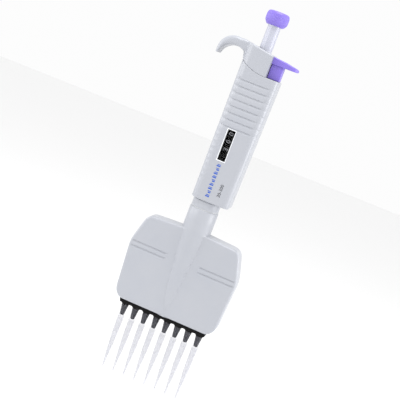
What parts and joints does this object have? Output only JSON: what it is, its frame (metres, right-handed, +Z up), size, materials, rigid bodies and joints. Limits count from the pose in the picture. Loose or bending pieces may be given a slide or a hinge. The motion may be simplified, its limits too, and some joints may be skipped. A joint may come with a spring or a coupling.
{
  "type": "multichannel pipette",
  "caption": "Hand-held air-displacement pipette with a row of channels, a push button, a volume counter and a tip ejector, tips fitted.",
  "frame": {"origin": "centre of the row of tip orifices", "axes": "+Z up the tool to the push button, +X along the row away from the finger hook, -Y out of the volume window"},
  "size_m": [0.0888, 0.0241, 0.3035],
  "materials": {
    "casing": "satin",
    "button": "satin",
    "stem": "gloss",
    "comb": "satin",
    "nozzle": "satin",
    "tip": "frosted",
    "lens": "clear",
    "drum": "satin",
    "frame": "satin",
    "steel": "ground",
    "acetal": "satin",
    "aluminium": "machined",
    "seal": "matte"
  },
  "bodies": {
    "handle": {"handle_body": "casing", "hook_cap": "casing", "top_bushing": "acetal", "side_screw": "steel", "window_frame": "frame", "window_lens": "lens", "counter_spacer": "drum", "counter_plates": "frame", "micrometer_nut": "aluminium", "lower_bushing": "acetal", "swivel_nut": "aluminium", "swivel_washer": "acetal", "coupling_ring": "casing", "ejector_spring": "steel"},
    "volume_adjuster": {"adjuster_sleeve": "acetal", "sleeve_cap": "acetal", "return_spring": "steel", "blowout_spring": "steel"},
    "units": {"units_drum": "drum"},
    "tens": {"tens_drum": "drum"},
    "hundreds": {"hundreds_drum": "drum"},
    "plunger": {"push_button": "button", "plunger_stem": "stem", "operating_rod": "steel"},
    "blowout_stop": {"stop_ring": "acetal"},
    "ejector": {"ejector_knob": "button", "ejector_rod": "steel", "ejector_fork": "acetal"},
    "module": {"module_front_shell": "casing", "module_back_shell": "casing", "module_screws": "steel", "neck_tube": "casing", "cylinder_block": "aluminium", "piston_seals": "seal", "seal_plate": "acetal", "yoke_guides": "steel", "nozzle_1": "nozzle", "nozzle_2": "nozzle", "nozzle_3": "nozzle", "nozzle_4": "nozzle", "nozzle_5": "nozzle", "nozzle_6": "nozzle", "nozzle_7": "nozzle", "nozzle_8": "nozzle"},
    "piston_set": {"piston_yoke": "aluminium", "yoke_stem": "steel", "pistons": "steel"},
    "comb": {"ejector_comb": "comb", "ejector_blades": "steel", "ejector_crossbar": "acetal", "ejector_sleeve": "acetal"},
    "tip_set": {"tip_1": "tip", "tip_2": "tip", "tip_3": "tip", "tip_4": "tip", "tip_5": "tip", "tip_6": "tip", "tip_7": "tip", "tip_8": "tip"}
  },
  "joints": [
    {"name": "volume_turn", "type": "hinge", "parent": "handle", "child": "volume_adjuster", "pos_m": [0, 0, 0.2], "axis": [0, 0, 1], "range_deg": [-4860, 0]},
    {"name": "units_turn", "type": "hinge", "parent": "handle", "child": "units", "pos_m": [0, 0, 0.2], "axis": [0, 0, 1], "range_deg": [-4860, 0]},
    {"name": "tens_turn", "type": "hinge", "parent": "handle", "child": "tens", "pos_m": [0, 0, 0.2], "axis": [0, 0, 1], "range_deg": [-972, 0]},
    {"name": "hundreds_turn", "type": "hinge", "parent": "handle", "child": "hundreds", "pos_m": [0, 0, 0.2], "axis": [0, 0, 1], "range_deg": [-97.2, 0]},
    {"name": "plunger_slide", "type": "slide", "parent": "volume_adjuster", "child": "plunger", "axis": [0, 0, -1], "range_m": [0, 0.0156], "stiffness_N_per_m": 350, "springref_m": -0.01, "deforming": ["return_spring"]},
    {"name": "blowout_slide", "type": "slide", "parent": "volume_adjuster", "child": "blowout_stop", "axis": [0, 0, -1], "range_m": [0, 0.003], "deforming": ["blowout_spring"]},
    {"name": "ejector_slide", "type": "slide", "parent": "handle", "child": "ejector", "axis": [0, 0, -1], "range_m": [0, 0.01], "stiffness_N_per_m": 500, "springref_m": -0.008, "deforming": ["ejector_spring"]},
    {"name": "module_turn", "type": "hinge", "parent": "handle", "child": "module", "pos_m": [0, 0, 0.2], "axis": [0, 0, 1], "continuous": true},
    {"name": "piston_slide", "type": "slide", "parent": "module", "child": "piston_set", "axis": [0, 0, -1], "range_m": [0, 0.0156]},
    {"name": "comb_slide", "type": "slide", "parent": "module", "child": "comb", "axis": [0, 0, -1], "range_m": [0, 0.01]},
    {"name": "tip_release", "type": "slide", "parent": "module", "child": "tip_set", "axis": [0, 0, -1], "range_m": [0, 0.01]}
  ],
  "couplings": [
    {"joint": "units_turn", "follows": "volume_turn", "ratio": 1},
    {"joint": "tens_turn", "follows": "volume_turn", "ratio": 0.2},
    {"joint": "hundreds_turn", "follows": "volume_turn", "ratio": 0.02},
    {"joint": "piston_slide", "follows": "plunger_slide", "ratio": 1},
    {"joint": "blowout_slide", "follows": "plunger_slide", "ratio": 0.1923},
    {"joint": "comb_slide", "follows": "ejector_slide", "ratio": 1},
    {"joint": "tip_release", "follows": "ejector_slide", "ratio": 1}
  ]
}
